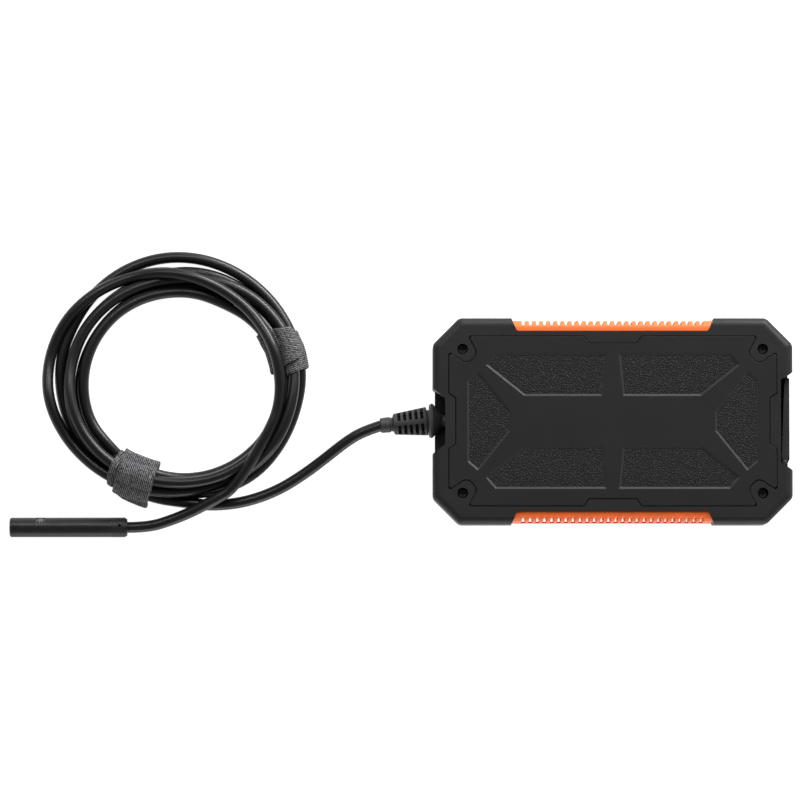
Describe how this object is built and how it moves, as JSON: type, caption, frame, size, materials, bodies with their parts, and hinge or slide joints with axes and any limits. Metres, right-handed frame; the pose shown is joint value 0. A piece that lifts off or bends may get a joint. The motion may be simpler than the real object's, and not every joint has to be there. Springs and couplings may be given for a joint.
{
  "type": "inspection camera",
  "caption": "Handheld inspection camera: flat display unit with notched grips and a slim probe on a coiled cable held by hook-and-loop straps.",
  "frame": {"origin": "under the display unit's centre, on the surface that it lies on, screen down", "axes": "+X along the display unit away from the cable, +Y across it, +Z out of its back"},
  "size_m": [0.3271, 0.12, 0.024],
  "materials": {
    "case_plastic": "moulded black plastic with a fine satin texture",
    "panel_plastic": "black plastic with leather-grained recessed pads",
    "grip_rubber": "soft orange rubber",
    "dark_rubber": "soft black rubber",
    "boot_rubber": "moulded dark grey rubber",
    "window_glass": "tinted flat cover glass",
    "lcd_glass": "unlit display",
    "white_plastic": "white moulded plastic",
    "circuit_board": "green solder resist",
    "chip_plastic": "black moulded component",
    "tin_plate": "tinned steel",
    "screw_steel": "plated steel",
    "black_screws": "blackened steel",
    "battery_foil": "foil pouch",
    "button_rubber": "satin silicone",
    "cable_jacket": "satin black cable jacket",
    "strap_fabric": "grey hook-and-loop webbing",
    "probe_metal": "black anodised metal",
    "lens_glass": "coated lens",
    "led_resin": "phosphor resin"
  },
  "bodies": {
    "main": {"battery_pack": "battery_foil", "battery_tape": "dark_rubber", "board_chips": "chip_plastic", "board_screws": "screw_steel", "cable_coil": "cable_jacket", "cable_lead": "cable_jacket", "cable_tail": "cable_jacket", "camera_header": "white_plastic", "card_socket": "tin_plate", "case_screws": "black_screws", "display_window": "window_glass", "front_lens": "lens_glass", "front_lens_barrel": "chip_plastic", "front_sensor_board": "circuit_board", "front_shell": "case_plastic", "front_window": "lens_glass", "inner_cable": "cable_jacket", "lcd_backlight": "white_plastic", "lcd_panel": "lcd_glass", "led_ring_board": "circuit_board", "leds": "led_resin", "lower_grip_strip": "grip_rubber", "lower_strap": "strap_fabric", "main_board": "circuit_board", "port_cover_peg": "screw_steel", "probe_board": "circuit_board", "probe_cable_end": "cable_jacket", "probe_collar": "probe_metal", "probe_set_screw": "black_screws", "probe_tip_cap": "probe_metal", "probe_tube": "probe_metal", "rear_panel": "panel_plastic", "rear_shell": "case_plastic", "right_strap": "strap_fabric", "shell_gasket": "dark_rubber", "shield_can": "tin_plate", "side_camera_module": "chip_plastic", "side_window": "lens_glass", "strain_relief": "boot_rubber", "tact_switches": "chip_plastic", "upper_grip_strip": "grip_rubber", "usb_socket": "tin_plate"},
    "menu_button": {"menu_button": "button_rubber"},
    "back_button": {"back_button": "button_rubber"},
    "ok_button": {"ok_button": "button_rubber"},
    "power_button": {"power_button": "button_rubber"},
    "photo_button": {"photo_button": "button_rubber"},
    "light_up_button": {"light_up_button": "button_rubber"},
    "light_down_button": {"light_down_button": "button_rubber"},
    "memory_card": {"memory_card": "chip_plastic"},
    "port_cover": {"port_cover": "dark_rubber"}
  },
  "joints": [
    {"name": "menu_button_press", "type": "slide", "parent": "main", "child": "menu_button", "axis": [0, 0, 1], "range_m": [0, 0.00035], "stiffness_N_per_m": 600},
    {"name": "back_button_press", "type": "slide", "parent": "main", "child": "back_button", "axis": [0, 0, 1], "range_m": [0, 0.00035], "stiffness_N_per_m": 600},
    {"name": "ok_button_press", "type": "slide", "parent": "main", "child": "ok_button", "axis": [0, 0, 1], "range_m": [0, 0.00035], "stiffness_N_per_m": 600},
    {"name": "power_button_press", "type": "slide", "parent": "main", "child": "power_button", "axis": [0, 0, 1], "range_m": [0, 0.00035], "stiffness_N_per_m": 600},
    {"name": "photo_button_press", "type": "slide", "parent": "main", "child": "photo_button", "axis": [0, 0, 1], "range_m": [0, 0.00035], "stiffness_N_per_m": 600},
    {"name": "light_up_button_press", "type": "slide", "parent": "main", "child": "light_up_button", "axis": [0, 0, 1], "range_m": [0, 0.00035], "stiffness_N_per_m": 600},
    {"name": "light_down_button_press", "type": "slide", "parent": "main", "child": "light_down_button", "axis": [0, 0, 1], "range_m": [0, 0.00035], "stiffness_N_per_m": 600},
    {"name": "memory_card_eject", "type": "slide", "parent": "main", "child": "memory_card", "axis": [1, 0, 0], "range_m": [0, 0.0012]},
    {"name": "port_cover_hinge", "type": "hinge", "parent": "main", "child": "port_cover", "pos_m": [0.0721, -0.0165, 0.0117], "axis": [0, 0, -1], "range_deg": [0, 100]}
  ]
}
